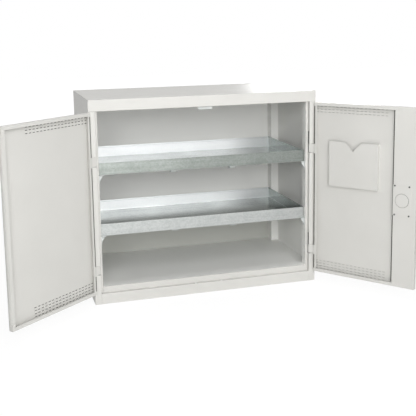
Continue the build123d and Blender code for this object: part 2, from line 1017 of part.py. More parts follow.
# Plate over the lock on the inside of the door
plate_face = door_face(right_base, right_rim + lock_plate_sheet)
with BuildPart() as lock_plate:
    with BuildSketch(plate_face):
        with Locations((-lock_line, lock_height)):
            RectangleRounded(lock_plate_width, lock_plate_height, lock_plate_corner)
    extrude(amount=lock_plate_sheet)
lock_plate.part.label = "lock_plate"
export_step(lock_plate.part, "parts/lock_plate.step")


# Round cover in the middle of the plate
with BuildPart() as lock_cover_disc:
    with BuildSketch(plate_face):
        with Locations((-lock_line, lock_height)):
            Circle(cover_disc_radius)
    extrude(amount=-cover_disc_thickness)
lock_cover_disc.part.label = "lock_cover_disc"
export_step(lock_cover_disc.part, "parts/lock_cover_disc.step")


# Screws in the corners of the plate
screw_spots = [
    (-lock_line + side * plate_screw_spread / 2, lock_height + end * plate_screw_rise / 2)
    for side in (LEFT, RIGHT)
    for end in (LEFT, RIGHT)
]
with BuildPart() as lock_plate_screws:
    with BuildSketch(plate_face):
        with Locations(*screw_spots):
            Circle(plate_screw_radius)
    extrude(amount=-plate_screw_height)
lock_plate_screws.part.label = "lock_plate_screws"
export_step(lock_plate_screws.part, "parts/lock_plate_screws.step")


# Two guides that hang from the channel and carry the rods
with BuildPart() as rod_guides:
    for rise in (-guide_spacing, guide_spacing):
        guide_bottom = lock_height + rise - guide_thickness / 2
        block(
            right_base,
            (-lock_line - guide_half_width, -lock_line + guide_half_width),
            (-rod_radius - guide_below_rod, right_rim - door_sheet),
            (guide_bottom, guide_bottom + guide_thickness),
        )
        with BuildSketch(right_base.offset(guide_bottom)):
            with Locations((-lock_line, 0)):
                Circle(rod_radius + guide_running_gap)
        extrude(amount=guide_thickness, mode=Mode.SUBTRACT)
rod_guides.part.label = "rod_guides"
export_step(rod_guides.part, "parts/rod_guides.step")


# Folder pocket with a notch for the fingers
pocket_free_side = pocket_hinge_side + pocket_width
pocket_top = pocket_bottom + pocket_height
pocket_front = skin_inner + pocket_depth
pocket_middle = (pocket_hinge_side + pocket_free_side) / 2
with BuildPart() as document_pocket:
    block(
        right_base,
        (-pocket_free_side, -pocket_hinge_side),
        (skin_inner, pocket_front),
        (pocket_bottom, pocket_top),
    )
    block(
        right_base,
        (-pocket_free_side + pocket_sheet, -pocket_hinge_side - pocket_sheet),
        (skin_inner + pocket_sheet, pocket_front - pocket_sheet),
        (pocket_bottom + pocket_sheet, pocket_top),
        Mode.SUBTRACT,
    )
    block(
        right_base,
        (-pocket_free_side + pocket_flange, -pocket_hinge_side - pocket_flange),
        (skin_inner, skin_inner + pocket_sheet),
        (pocket_bottom + pocket_flange, pocket_top),
        Mode.SUBTRACT,
    )
    with BuildSketch(door_face(right_base, pocket_front)):
        Polygon(
            (-pocket_middle - pocket_notch_half_width, pocket_top),
            (-pocket_middle, pocket_top - pocket_notch_depth),
            (-pocket_middle + pocket_notch_half_width, pocket_top),
            align=None,
        )
    extrude(amount=pocket_sheet, mode=Mode.SUBTRACT)
document_pocket.part.label = "document_pocket"
export_step(document_pocket.part, "parts/document_pocket.step")


# Plate outside the door with bearings for the spindle and the cylinder
escutcheon_outer = skin_outer - escutcheon_thickness
boss_outer = escutcheon_outer - cylinder_boss_height
cylinder_height = lock_height + cylinder_rise
with BuildPart() as handle_escutcheon:
    with BuildSketch(door_face(right_base, skin_outer)):
        with Locations((-lock_line, lock_height + escutcheon_rise)):
            RectangleRounded(escutcheon_width, escutcheon_height, escutcheon_corner)
    extrude(amount=escutcheon_thickness)
    with BuildSketch(door_face(right_base, escutcheon_outer)):
        with Locations((-lock_line, cylinder_height)):
            Circle(cylinder_boss_radius)
    extrude(amount=cylinder_boss_height)
    with BuildSketch(door_face(right_base, skin_outer)):
        with Locations((-lock_line, cylinder_height)):
            Circle(cylinder_radius + cylinder_running_gap)
    extrude(amount=skin_outer - boss_outer, mode=Mode.SUBTRACT)
    with BuildSketch(door_face(right_base, skin_outer)):
        with Locations((-lock_line, lock_height)):
            Circle(spindle_radius + spindle_running_gap)
    extrude(amount=escutcheon_thickness, mode=Mode.SUBTRACT)
handle_escutcheon.part.label = "handle_escutcheon"
export_step(handle_escutcheon.part, "parts/handle_escutcheon.step")


# Lever handle with its hub, spindle and square drive
disc_outer = skin_inner + disc_skin_gap
disc_inner = disc_outer + disc_thickness
hub_outer = escutcheon_outer - axial_gap - hub_height
with BuildPart() as turn_handle:
    with BuildSketch(door_face(right_base, hub_outer)):
        with Locations((-lock_line + lever_length / 2, lock_height)):
            SlotCenterToCenter(lever_length, lever_width)
    extrude(amount=lever_thickness)
    grip_edges = turn_handle.faces().sort_by(Axis(right_base.origin, right_base.y_dir))[0].edges()
    fillet(grip_edges, radius=lever_edge_round)
    with BuildSketch(door_face(right_base, hub_outer)):
        with Locations((-lock_line, lock_height)):
            Circle(hub_radius)
    extrude(amount=-hub_height)
    with BuildSketch(door_face(right_base, disc_outer)):
        with Locations((-lock_line, lock_height)):
            Circle(spindle_radius)
    extrude(amount=disc_outer - hub_outer)
    with BuildSketch(door_face(right_base, disc_inner + tenon_beyond_disc)):
        with Locations((-lock_line, lock_height)):
            Rectangle(tenon_size, tenon_size)
    extrude(amount=disc_thickness + tenon_beyond_disc)
turn_handle.part.label = "turn_handle"
export_step(turn_handle.part, "parts/turn_handle.step")


# Disc on the square drive, with a pin for each rod and two scoops for the cam
pin_leg = drive_pin_circle / sqrt(2)
yoke_inner = rod_radius
with BuildPart() as drive_disc:
    with BuildSketch(door_face(right_base, disc_inner)):
        with Locations((-lock_line, lock_height)):
            Circle(disc_radius)
            Rectangle(tenon_size, tenon_size, mode=Mode.SUBTRACT)
        with Locations(
            (-lock_line, lock_height + cylinder_rise),
            (-lock_line - cylinder_rise, lock_height),
        ):
            Circle(cam_length + cam_scoop_gap, mode=Mode.SUBTRACT)
    extrude(amount=disc_thickness)
    with BuildSketch(door_face(right_base, disc_inner)):
        with Locations(
            (-lock_line - pin_leg, lock_height - pin_leg),
            (-lock_line + pin_leg, lock_height + pin_leg),
        ):
            Circle(drive_pin_radius)
    extrude(amount=-(yoke_inner + drive_pin_overhang - disc_inner))
drive_disc.part.label = "drive_disc"
export_step(drive_disc.part, "parts/drive_disc.step")


# Cylinder with its keyway and the cam that enters the disc's scoops
cam_outer = skin_inner + cam_skin_gap
cam_inner = cam_outer + cam_thickness
cylinder_outer = boss_outer - cylinder_proud
with BuildPart() as lock_cylinder:
    with BuildSketch(door_face(right_base, cam_inner)):
        with Locations((-lock_line, cylinder_height)):
            Circle(cylinder_radius)
    extrude(amount=cam_inner - cylinder_outer)
    with BuildSketch(door_face(right_base, cam_inner)):
        with Locations((-lock_line, cylinder_height)):
            Circle(cam_length)
        with Locations((-lock_line - cam_length / 2, cylinder_height)):
            Rectangle(cam_length, cam_width, mode=Mode.INTERSECT)
    extrude(amount=cam_thickness)
    with BuildSketch(door_face(right_base, cylinder_outer)):
        with Locations((-lock_line, cylinder_height)):
            Rectangle(keyway_width, keyway_length)
    extrude(amount=-keyway_depth, mode=Mode.SUBTRACT)
lock_cylinder.part.label = "lock_cylinder"
export_step(lock_cylinder.part, "parts/lock_cylinder.step")


def build_rod(way):
    """A locking rod with its yoke, running up for 1 and down for -1."""
    near_end = lock_height + way * rod_end_from_spindle
    far_end = door_top - rod_end_back if way > 0 else door_bottom + rod_end_back
    slot_middle = lock_height - way * pin_leg
    slot_half = drive_pin_radius + yoke_slot_play
    yoke_end = slot_middle - way * (slot_half + yoke_land)
    joint_end = near_end + way * yoke_joint_length
    depth = (yoke_inner - yoke_sheet, yoke_inner)
    with BuildPart() as rod:
        with BuildSketch(right_base.offset(min(near_end, far_end))):
            with Locations((-lock_line, 0)):
                Circle(rod_radius)
        extrude(amount=abs(far_end - near_end))
        tip_edge = rod.edges().sort_by(Axis.Z)[-1 if way > 0 else 0]
        chamfer(tip_edge, length=rod_tip_chamfer)
        block(
            right_base,
            between(-lock_line - way * yoke_near_edge, -lock_line - way * yoke_far_edge),
            depth,
            between(yoke_end, joint_end),
        )
        block(
            right_base,
            between(-lock_line + way * rod_radius, -lock_line - way * yoke_far_edge),
            depth,
            between(near_end, joint_end),
        )
        block(
            right_base,
            between(-lock_line - way * yoke_slot_near, -lock_line - way * yoke_slot_far),
            depth,
            (slot_middle - slot_half, slot_middle + slot_half),
            Mode.SUBTRACT,
        )
    return rod


top_rod = build_rod(1)
top_rod.part.label = "top_rod"
export_step(top_rod.part, "parts/top_rod.step")

bottom_rod = build_rod(-1)
bottom_rod.part.label = "bottom_rod"
export_step(bottom_rod.part, "parts/bottom_rod.step")
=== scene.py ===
import math

import bmesh
import bpy
from mathutils import Matrix, Vector


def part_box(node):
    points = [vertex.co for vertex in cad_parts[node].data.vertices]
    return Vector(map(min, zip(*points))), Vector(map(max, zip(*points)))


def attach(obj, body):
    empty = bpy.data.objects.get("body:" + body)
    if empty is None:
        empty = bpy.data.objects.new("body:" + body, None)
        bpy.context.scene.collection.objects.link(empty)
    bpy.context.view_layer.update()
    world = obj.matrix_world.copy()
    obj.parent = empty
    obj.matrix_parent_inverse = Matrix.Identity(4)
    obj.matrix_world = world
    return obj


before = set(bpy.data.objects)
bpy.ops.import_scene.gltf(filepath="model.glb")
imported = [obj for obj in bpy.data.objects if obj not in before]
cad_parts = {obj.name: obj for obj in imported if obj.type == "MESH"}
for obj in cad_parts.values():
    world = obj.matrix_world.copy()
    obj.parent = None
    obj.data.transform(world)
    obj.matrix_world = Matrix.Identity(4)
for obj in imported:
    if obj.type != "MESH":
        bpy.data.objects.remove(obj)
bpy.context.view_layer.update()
scene = bpy.context.scene
scene.view_settings.view_transform = "Standard"


def link(obj):
    """Puts an object in the scene."""
    scene.collection.objects.link(obj)
    return obj


def piece_of(name, shell):
    """A finished mesh as an object."""
    mesh = bpy.data.meshes.new(name)
    shell.to_mesh(mesh)
    shell.free()
    return link(bpy.data.objects.new(name, mesh))


# Camera, fitted to the corners of the cupboard and of both doors in the photograph.
YAW, PITCH, ROLL = math.radians(16.177), math.radians(9.196), math.radians(-0.895)
CAMERA_PLACE = (-0.951, -3.2923, 1.2368)
PHOTO_PIXELS, FOCAL_PIXELS = 416, 775.9
SENSOR_WIDTH, SHIFT_UP, FARTHEST_SEEN = 36.0, -0.149, 100.0
camera = link(bpy.data.objects.new("camera", bpy.data.cameras.new("camera")))
camera.data.sensor_width = SENSOR_WIDTH
camera.data.lens = SENSOR_WIDTH * FOCAL_PIXELS / PHOTO_PIXELS
camera.data.shift_y = SHIFT_UP
camera.data.clip_end = FARTHEST_SEEN
forward = Vector(
    (math.sin(YAW) * math.cos(PITCH), math.cos(YAW) * math.cos(PITCH), -math.sin(PITCH))
)
level = Vector((math.cos(YAW), -math.sin(YAW), 0.0))
upward = level.cross(forward)
right = level * math.cos(ROLL) + upward * math.sin(ROLL)
up = upward * math.cos(ROLL) - level * math.sin(ROLL)
turn = Matrix((right, up, -forward)).transposed().to_4x4()
camera.matrix_world = Matrix.Translation(CAMERA_PLACE) @ turn
scene.camera = camera


# How far a normal leans on flats and on rounded edges, as cosines.
FLAT_LEAN, EDGE_LEAN = 0.999, 0.90


class Shader:
    """The node tree of a material or a world, built by short calls."""

    def __init__(self, owner, output):
        self.owner = owner
        owner.use_nodes = True
        self.tree = owner.node_tree
        self.tree.nodes.clear()
        self.output = self.node(output)

    def node(self, kind, **settings):
        """One node with its properties set."""
        made = self.tree.nodes.new(kind)
        for key, value in settings.items():
            setattr(made, key, value)
        return made

    def join(self, source, target):
        """Links an output to an input, or sets the input's own value."""
        if isinstance(source, bpy.types.NodeSocket):
            self.tree.links.new(source, target)
        else:
            target.default_value = source

    def place(self):
        """Object coordinates, in metres."""
        return self.node("ShaderNodeTexCoord").outputs["Object"]

    def stretched(self, scale):
        """Object coordinates scaled by axis."""
        mapping = self.node("ShaderNodeMapping")
        self.join(self.place(), mapping.inputs["Vector"])
        mapping.inputs["Scale"].default_value = scale
        return mapping.outputs["Vector"]

    def noise(self, scale, detail=2.0, roughness=0.5, where=None, distortion=0.0):
        """A noise value from 0 to 1."""
        made = self.node("ShaderNodeTexNoise")
        self.join(where or self.place(), made.inputs["Vector"])
        made.inputs["Scale"].default_value = scale
        made.inputs["Detail"].default_value = detail
        made.inputs["Roughness"].default_value = roughness
        made.inputs["Distortion"].default_value = distortion
        return made.outputs["Fac"]

    def spread(self, value, low, high, onto_low, onto_high):
        """Maps a range of values onto another."""
        made = self.node("ShaderNodeMapRange")
        for socket, amount in zip(made.inputs, (value, low, high, onto_low, onto_high)):
            self.join(amount, socket)
        return made.outputs["Result"]

    def math(self, operation, first, second=0.0):
        """One operation on one or two values."""
        made = self.node("ShaderNodeMath", operation=operation)
        self.join(first, made.inputs[0])
        self.join(second, made.inputs[1])
        return made.outputs[0]

    def mix(self, factor, first, second):
        """A colour between two colours."""
        made = self.node("ShaderNodeMix", data_type="RGBA")
        self.join(factor, made.inputs["Factor"])
        self.join(first, made.inputs[6])
        self.join(second, made.inputs[7])
        return made.outputs[2]

    def edge(self, radius, samples=4):
        """How much a place is an edge, from 0 on flats to 1, and the rounded normal there."""
        bevel = self.node("ShaderNodeBevel", samples=samples)
        bevel.inputs["Radius"].default_value = radius
        flat = self.node("ShaderNodeNewGeometry")
        lean = self.node("ShaderNodeVectorMath", operation="DOT_PRODUCT")
        self.join(bevel.outputs["Normal"], lean.inputs[0])
        self.join(flat.outputs["Normal"], lean.inputs[1])
        wear_and_highlight = self.spread(lean.outputs["Value"], FLAT_LEAN, EDGE_LEAN, 0.0, 1.0)
        return wear_and_highlight, bevel.outputs["Normal"]

    def bump(self, height, distance, strength=1.0, normal=None):
        """A bumped normal."""
        made = self.node("ShaderNodeBump")
        made.inputs["Strength"].default_value = strength
        made.inputs["Distance"].default_value = distance
        self.join(height, made.inputs["Height"])
        if normal is not None:
            self.join(normal, made.inputs["Normal"])
        return made.outputs["Normal"]

    def surface(self, colour, roughness, metallic, normal=None, **levels):
        """Ends the tree in a principled shader."""
        made = self.node("ShaderNodeBsdfPrincipled")
        self.join(colour, made.inputs["Base Color"])
        self.join(roughness, made.inputs["Roughness"])
        made.inputs["Metallic"].default_value = metallic
        for key, value in levels.items():
            made.inputs[key.replace("_", " ")].default_value = value
        if normal is not None:
            self.join(normal, made.inputs["Normal"])
        self.join(made.outputs["BSDF"], self.output.inputs["Surface"])
        return self.owner

    def seen(self):
        """1 for the rays that look at things: to the camera, in metal and through openings."""
        path = self.node("ShaderNodeLightPath")
        looks = self.math("MAXIMUM", path.outputs["Is Camera Ray"], path.outputs["Is Glossy Ray"])
        return self.math("MAXIMUM", looks, path.outputs["Is Transmission Ray"])


def material_shader(name):
    """An empty material to build on."""
    return Shader(bpy.data.materials.new(name), "ShaderNodeOutputMaterial")


def tone(red, green, blue):
    """A linear colour from one written as 0 to 255."""
    parts = []
    for value in (red, green, blue):
        share = value / 255
        parts.append(share / 12.92 if share <= 0.04045 else ((share + 0.055) / 1.055) ** 2.4)
    return (*parts, 1.0)


# The carcass sizes that the frame's boxes don't show, and how far a zone stays off a sheet or
# passes it, as shares of its thickness.
SHEET, RECESS_DEPTH, POST_WIDTH = 0.0015, 0.0205, 0.029
CLEAR_SHARE, PASS_SHARE = 0.8, 0.1
ANY_SIDE = -1.0


def painted_light_zones():
    """Painted light inside, painted shade on the back below the lower tray and in the hollows of
    the posts and rear uprights.

    Each has its nearest and farthest side, its front, its rear, its top and its colour.
    """
    post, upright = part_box("right_post"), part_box("right_rear_upright")
    near = CLEAR_SHARE * SHEET
    side = post[1][0] - near
    rear = upright[1][1] + PASS_SHARE * SHEET
    high, below = post[1][2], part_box("lower_tray")[0][2]
    # The inside is painted light, the back below the lower tray painted shade, and the hollows of
    # posts and uprights painted deep shade.
    light, shade, dark = tone(250, 250, 247), tone(199, 200, 194), tone(58, 59, 54)
    return (
        (ANY_SIDE, side, RECESS_DEPTH + 2 * near, rear, high, light),
        (ANY_SIDE, post[1][0], upright[1][1] - PASS_SHARE * SHEET, rear, below, shade),
        (post[0][0] + near, side, RECESS_DEPTH + near, post[1][1] - near, high, dark),
        (post[1][0] - POST_WIDTH + near, side, near, RECESS_DEPTH + 2 * near, high, dark),
        (upright[0][0] + near, side, upright[0][1] + near, rear, high, dark),
    )


def in_zone(s, zone):
    """1 inside a zone and 0 outside it."""
    near, far, front, rear, top, _ = zone
    place = s.node("ShaderNodeSeparateXYZ")
    s.join(s.place(), place.inputs["Vector"])
    aside = s.math("ABSOLUTE", place.outputs["X"])
    held = s.math("GREATER_THAN", aside, near)
    held = s.math("MULTIPLY", held, s.math("LESS_THAN", aside, far))
    held = s.math("MULTIPLY", held, s.math("GREATER_THAN", place.outputs["Y"], front))
    held = s.math("MULTIPLY", held, s.math("LESS_THAN", place.outputs["Y"], rear))
    return s.math("MULTIPLY", held, s.math("LESS_THAN", place.outputs["Z"], top))


# The scales of the coat's noises, and their shares. A noise seldom leaves the usual range.
USUAL_RANGE = (0.3, 0.7)
CLOUDS, CLOUD_SHARE = 5.0, 0.7
FLECKS, FLECK_SHARE = 420.0, 0.3
# Edges are lightened partly as wear and partly as a painted highlight.
COAT_EDGE, COAT_WEAR, COAT_WORN_HIGHLIGHT = 0.0012, 0.35, tone(236, 236, 233)
COAT_GRAIN, COAT_RELIEF, PEEL_STRENGTH = 1100.0, 0.00006, 0.6
DULL_SPOTS, COAT_ROUGH = 60.0, (0.40, 0.50)
COAT_IOR = 1.48


def powder_coat(name, light, dark, grain=COAT_GRAIN, relief=COAT_RELIEF, parts=()):
    """Fine powder coat: orange peel, faint clouds, rounded edges lightened as wear and painted
    highlight, and zones of painted light and shade.
    """
    s = material_shader(name)
    cloud = s.spread(s.noise(CLOUDS, detail=3.0), *USUAL_RANGE, 0.0, CLOUD_SHARE)
    fleck = s.spread(s.noise(FLECKS), *USUAL_RANGE, 0.0, FLECK_SHARE)
    colour = s.mix(s.math("ADD", cloud, fleck), dark, light)
    wear_and_highlight, rounded = s.edge(COAT_EDGE)
    # Edges lightened: partly wear, partly a painted highlight.
    colour = s.mix(s.math("MULTIPLY", wear_and_highlight, COAT_WEAR), colour, COAT_WORN_HIGHLIGHT)
    # Zones of painted light and shade, each in its own colour.
    for zone in parts:
        colour = s.mix(in_zone(s, zone), colour, zone[-1])
    peel = s.noise(grain, roughness=0.6)
    rough = s.spread(s.noise(DULL_SPOTS, detail=3.0), *USUAL_RANGE, *COAT_ROUGH)
    normal = s.bump(peel, relief, PEEL_STRENGTH, rounded)
    return s.surface(colour, rough, 0.0, normal, IOR=COAT_IOR)


CRYSTALS, STREAK_STRETCH, BLOOMS = 160.0, (1.6, 70.0, 70.0), 7.0
CRYSTAL_SHARE, STREAK_SHARE, BLOOM_SHARE = 0.16, 0.48, 0.36
MOTTLE_RANGE = (0.32, 0.68)
STREAK_RELIEF, STREAK_STRENGTH = 0.0002, 0.25
ZINC_EDGE, ZINC_WEAR, ZINC_WORN_HIGHLIGHT = 0.0010, 0.5, tone(236, 239, 241)
# Where a tray's walls begin and end to show, from the tray's own front, rear and sides, and how
# far below the upper tray its own front tones begin. The walls carry painted light and shade: a
# painted highlight on the rear walls, painted shade on the side walls and the upper tray's front,
# and painted light on the lower tray's front.
FRONT_FADE, REAR_FADE, SIDE_FADE = (0.002, 0.008), (0.006, 0.002), (0.006, 0.003)
UPPER_REACH = 0.1
SIDE_WALL_PAINTED_SHADE = (tone(98, 104, 101), tone(126, 132, 129))
REAR_WALL_PAINTED_HIGHLIGHT = (tone(242, 244, 246), tone(250, 251, 252))
LOWER_FRONT_PAINTED_LIGHT = (tone(156, 159, 158), tone(188, 191, 189))
UPPER_FRONT_PAINTED_SHADE = (tone(114, 119, 115), tone(144, 149, 145))
FRONT_DULLNESS, REAR_DULLNESS = 0.14, 0.24


def galvanised(name, light, dark, rough_low, rough_high, tray):
    """Galvanised sheet: faint crystals, mill streaks, a dull bloom, edges lightened as wear and
    painted highlight, and painted light and shade on the walls.
    """
    s = material_shader(name)
    cells = s.node("ShaderNodeTexVoronoi", feature="F1")
    s.join(s.place(), cells.inputs["Vector"])
    cells.inputs["Scale"].default_value = CRYSTALS
    crystal = s.node("ShaderNodeSeparateColor")
    s.join(cells.outputs["Color"], crystal.inputs["Color"])
    drawn = s.stretched(STREAK_STRETCH)
    streaks = s.noise(1.0, detail=4.0, roughness=0.65, where=drawn, distortion=0.3)
    bloom = s.noise(BLOOMS, detail=4.0, roughness=0.6)
    mottled = s.math("MULTIPLY", crystal.outputs["Red"], CRYSTAL_SHARE)
    mottled = s.math("ADD", mottled, s.math("MULTIPLY", streaks, STREAK_SHARE))
    mottled = s.math("ADD", mottled, s.math("MULTIPLY", bloom, BLOOM_SHARE))
    factor = s.spread(mottled, *MOTTLE_RANGE, 0.0, 1.0)
    colour = s.mix(factor, dark, light)
    along = s.node("ShaderNodeSeparateXYZ")
    s.join(s.place(), along.inputs["Vector"])
    low, high = tray
    front = s.spread(
        along.outputs["Y"], low[1] + FRONT_FADE[0], low[1] + FRONT_FADE[1], 1.0, 0.0
    )
    rear = s.spread(along.outputs["Y"], high[1] - REAR_FADE[0], high[1] - REAR_FADE[1], 0.0, 1.0)
    aside = s.math("ABSOLUTE", along.outputs["X"])
    beside = s.spread(aside, high[0] - SIDE_FADE[0], high[0] - SIDE_FADE[1], 0.0, 1.0)
    upper = s.spread(along.outputs["Z"], low[2] - UPPER_REACH, low[2], 0.0, 1.0)
    # Painted light and shade: each tray's fronts, side walls and rear walls take their own tones.
    painted_fronts = s.mix(upper, s.mix(factor, *LOWER_FRONT_PAINTED_LIGHT), s.mix(factor, *UPPER_FRONT_PAINTED_SHADE))
    colour = s.mix(beside, colour, s.mix(factor, *SIDE_WALL_PAINTED_SHADE))
    colour = s.mix(rear, colour, s.mix(factor, *REAR_WALL_PAINTED_HIGHLIGHT))
    colour = s.mix(front, colour, painted_fronts)
    wear_and_highlight, rounded = s.edge(ZINC_EDGE)
    # Edges lightened: partly wear, partly a painted highlight.
    colour = s.mix(s.math("MULTIPLY", wear_and_highlight, ZINC_WEAR), colour, ZINC_WORN_HIGHLIGHT)
    rough = s.spread(factor, 0.0, 1.0, rough_high, rough_low)
    rough = s.math("ADD", rough, s.math("MULTIPLY", front, FRONT_DULLNESS))
    rough = s.math("ADD", rough, s.math("MULTIPLY", rear, REAR_DULLNESS))
    normal = s.bump(streaks, STREAK_RELIEF, STREAK_STRENGTH, rounded)
    return s.surface(colour, rough, 1.0, normal)


PATCHES, PATCH_SHARE = 38.0, 0.7
MARKS, MARK_SHARE = 700.0, 0.3
PATCH_RANGE = (0.35, 0.65)
MARK_RELIEF, MARK_STRENGTH = 0.00005, 0.4
PLATE_EDGE, PLATE_WEAR, PLATE_WORN_HIGHLIGHT = 0.0008, 0.6, tone(238, 239, 240)


def plated(name, light, dark, rough_low, rough_high):
    """Zinc plate: bright, with a soft patchy passivation and fine handling marks."""
    s = material_shader(name)
    patch = s.noise(PATCHES, detail=4.0, roughness=0.6)
    marks = s.noise(MARKS, detail=3.0, roughness=0.7)
    patch_part = s.math("MULTIPLY", patch, PATCH_SHARE)
    mark_part = s.math("MULTIPLY", marks, MARK_SHARE)
    factor = s.spread(s.math("ADD", patch_part, mark_part), *PATCH_RANGE, 0.0, 1.0)
    wear_and_highlight, rounded = s.edge(PLATE_EDGE)
    colour = s.mix(factor, dark, light)
    # Edges lightened: partly wear, partly a painted highlight.
    colour = s.mix(s.math("MULTIPLY", wear_and_highlight, PLATE_WEAR), colour, PLATE_WORN_HIGHLIGHT)
    rough = s.spread(factor, 0.0, 1.0, rough_high, rough_low)
    normal = s.bump(marks, MARK_RELIEF, MARK_STRENGTH, rounded)
    return s.surface(colour, rough, 1.0, normal)


# Each material has its lighter and darker tone, then a coat's own grain and relief, or a metal's
# least and greatest roughness.
COAT_TONES = (tone(212, 211, 207), tone(207, 206, 202))
# Painted shade for the dark strips at the door gaps and the ring round the cover disc.
GAP_SHADE_TONES = (tone(74, 75, 68), tone(58, 59, 53))
GALVANISED_TONES = (tone(120, 126, 123), tone(92, 98, 94))
DULL_TONES = (tone(214, 217, 216), tone(196, 200, 199))
PLATED_TONES = (tone(214, 217, 220), tone(180, 184, 186))
SCREW_TONES = (tone(104, 106, 104), tone(84, 86, 84))
HANDLE_TONES = (tone(206, 206, 202), tone(199, 199, 195))
CHROMED_TONES = (tone(228, 229, 231), tone(212, 214, 217))
materials = {
    "powder_coat": powder_coat("powder_coat", *COAT_TONES),
    # The carcass coat carries painted light and shade inside the cupboard.
    "carcass_coat_painted_light_and_shade": powder_coat("carcass_coat_painted_light_and_shade", *COAT_TONES, parts=painted_light_zones()),
    # Painted shade for the gap strips and the disc ring.
    "gap_shade": powder_coat("gap_shade", *GAP_SHADE_TONES, 900.0, 0.0001),
    "galvanised_steel": galvanised(
        "galvanised_steel", *GALVANISED_TONES, 0.14, 0.26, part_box("upper_tray")
    ),
    "dull_zinc": powder_coat("dull_zinc", *DULL_TONES, 700.0),
    "zinc_plated_steel": plated("zinc_plated_steel", *PLATED_TONES, 0.24, 0.38),
    "screw_finish": plated("screw_finish", *SCREW_TONES, 0.40, 0.52),
    "handle_finish": powder_coat("handle_finish", *HANDLE_TONES, 1600.0, 0.00003),
    "chromed_zinc": plated("chromed_zinc", *CHROMED_TONES, 0.08, 0.16),
}

# The finish of each node in the record, where it isn't powder coat.
ZINC = {
    "top_stop_clip",
    "hinge_pins",
    "upper_tray_clips",
    "lower_tray_clips",
    "lock_plate_screws",
    "rod_guides",
    "drive_disc",
    "top_rod",
    "bottom_rod",
}
GALVANISED = {"upper_tray", "lower_tray", "upper_tray_stiffeners", "lower_tray_stiffeners"}
OTHER = {"turn_handle": "handle_finish", "lock_cylinder": "chromed_zinc"}
# The material that shows on a node, where it isn't its finish's own.
SHOWN = {
    "top_stop_clip": "dull_zinc",
    "upper_tray_clips": "dull_zinc",
    "lower_tray_clips": "dull_zinc",
    "upper_tray_stiffeners": "dull_zinc",
    "lower_tray_stiffeners": "dull_zinc",
    "lock_plate_screws": "screw_finish",
}
# Nodes whose coat carries the painted light and shade inside the cupboard.
CARCASS_PAINTED_LIGHT_AND_SHADE = {
    "back_panel",
    "floor_panel",
    "left_rear_upright",
    "right_rear_upright",
    "left_post",
    "right_post",
    "left_side_panel",
    "right_side_panel",
    "left_upper_hinge_bracket",
    "left_lower_hinge_bracket",
    "right_upper_hinge_bracket",
    "right_lower_hinge_bracket",
}

for name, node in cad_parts.items():
    if name in ZINC:
        finish = "zinc_plated_steel"
    elif name in GALVANISED:
        finish = "galvanised_steel"
    else:
        finish = OTHER.get(name, "powder_coat")
    node.data.materials.clear()
    shown = "carcass_coat_painted_light_and_shade" if name in CARCASS_PAINTED_LIGHT_AND_SHADE else SHOWN.get(name, finish)
    node.data.materials.append(materials[shown])


# Louvres: every slot of a door has a small pressed hood outside, open below, with painted shade
# inside, darker on the left door than on the right. A door's own axes: u runs from the hinge pin
# to the free edge, v into the cupboard when the door is shut, and z up. Each door has its hand,
# the angle it stands open by and the painted shade inside its hoods.
DOORS = {
    "left_door": (-1, math.radians(140.0), tone(72, 73, 68)),
    "right_door": (1, math.radians(128.0), tone(188, 189, 184)),
}
PIN_ACROSS, PIN_DEPTH = 0.5115, 0.0095
SKIN_OUTSIDE = -0.0095
SLOT_FIRST, SLOT_PITCH, SLOT_COLUMNS = 0.026, 0.0199, 18
SLOT_ROW_PITCH = 0.013
TOP_ROW, TOP_ROWS = 0.838, 3
LOW_ROW, LOW_ROWS = 0.062, 4
HOOD_LENGTH, HOOD_ABOVE, HOOD_BELOW, HOOD_RISE = 0.0155, 0.0034, 0.0036, 0.0030
HOOD_SHEET, HOOD_SEAT = 0.0007, 0.0001
HOOD_STEPS_ALONG, HOOD_STEPS_DOWN = 8, 5
HOOD_END_POWER, HOOD_FULL_BY, HOOD_TOP_POWER = 3.0, 1.25, 0.7
# The grain of the painted shade inside the hoods, and the share of its darker tone.
HOOD_SHADE_GRAIN, DARKER_HOOD_SHADE_SHARE = 1500.0, 0.85


def door_point(hand, angle, u, v, z):
    """A place on an opened door, in the frame's axes."""
    across = -hand * u
    x = hand * PIN_ACROSS + across * math.cos(angle) - v * hand * math.sin(angle)
    y = PIN_DEPTH + across * hand * math.sin(angle) + v * math.cos(angle)
    return Vector((x, y, z))


def hood_rise(along, down):
    """The share of a hood's rise at a place on it: 0 at its ends and top, 1 at its mouth."""
    ends = 1.0 - abs(along) ** HOOD_END_POWER
    return ends * math.sin(0.5 * math.pi * min(1.0, down * HOOD_FULL_BY)) ** HOOD_TOP_POWER


def add_hood(shell, hand, angle, middle, row):
    """One hood over the slot at a place on a door."""
    lines = []
    for i in range(HOOD_STEPS_ALONG + 1):
        along = 2.0 * i / HOOD_STEPS_ALONG - 1.0
        u = middle + along * HOOD_LENGTH / 2
        line = []
        for j in range(HOOD_STEPS_DOWN + 1):
            down = j / HOOD_STEPS_DOWN
            v = SKIN_OUTSIDE + HOOD_SEAT - HOOD_RISE * hood_rise(along, down)
            z = row + HOOD_ABOVE - (HOOD_ABOVE + HOOD_BELOW) * down
            line.append(shell.verts.new(door_point(hand, angle, u, v, z)))
        lines.append(line)
    for first, second in zip(lines, lines[1:]):
        for j in range(HOOD_STEPS_DOWN):
            corners = (first[j], first[j + 1], second[j + 1], second[j])
            face = shell.faces.new(corners[::-hand])
            face.smooth = True


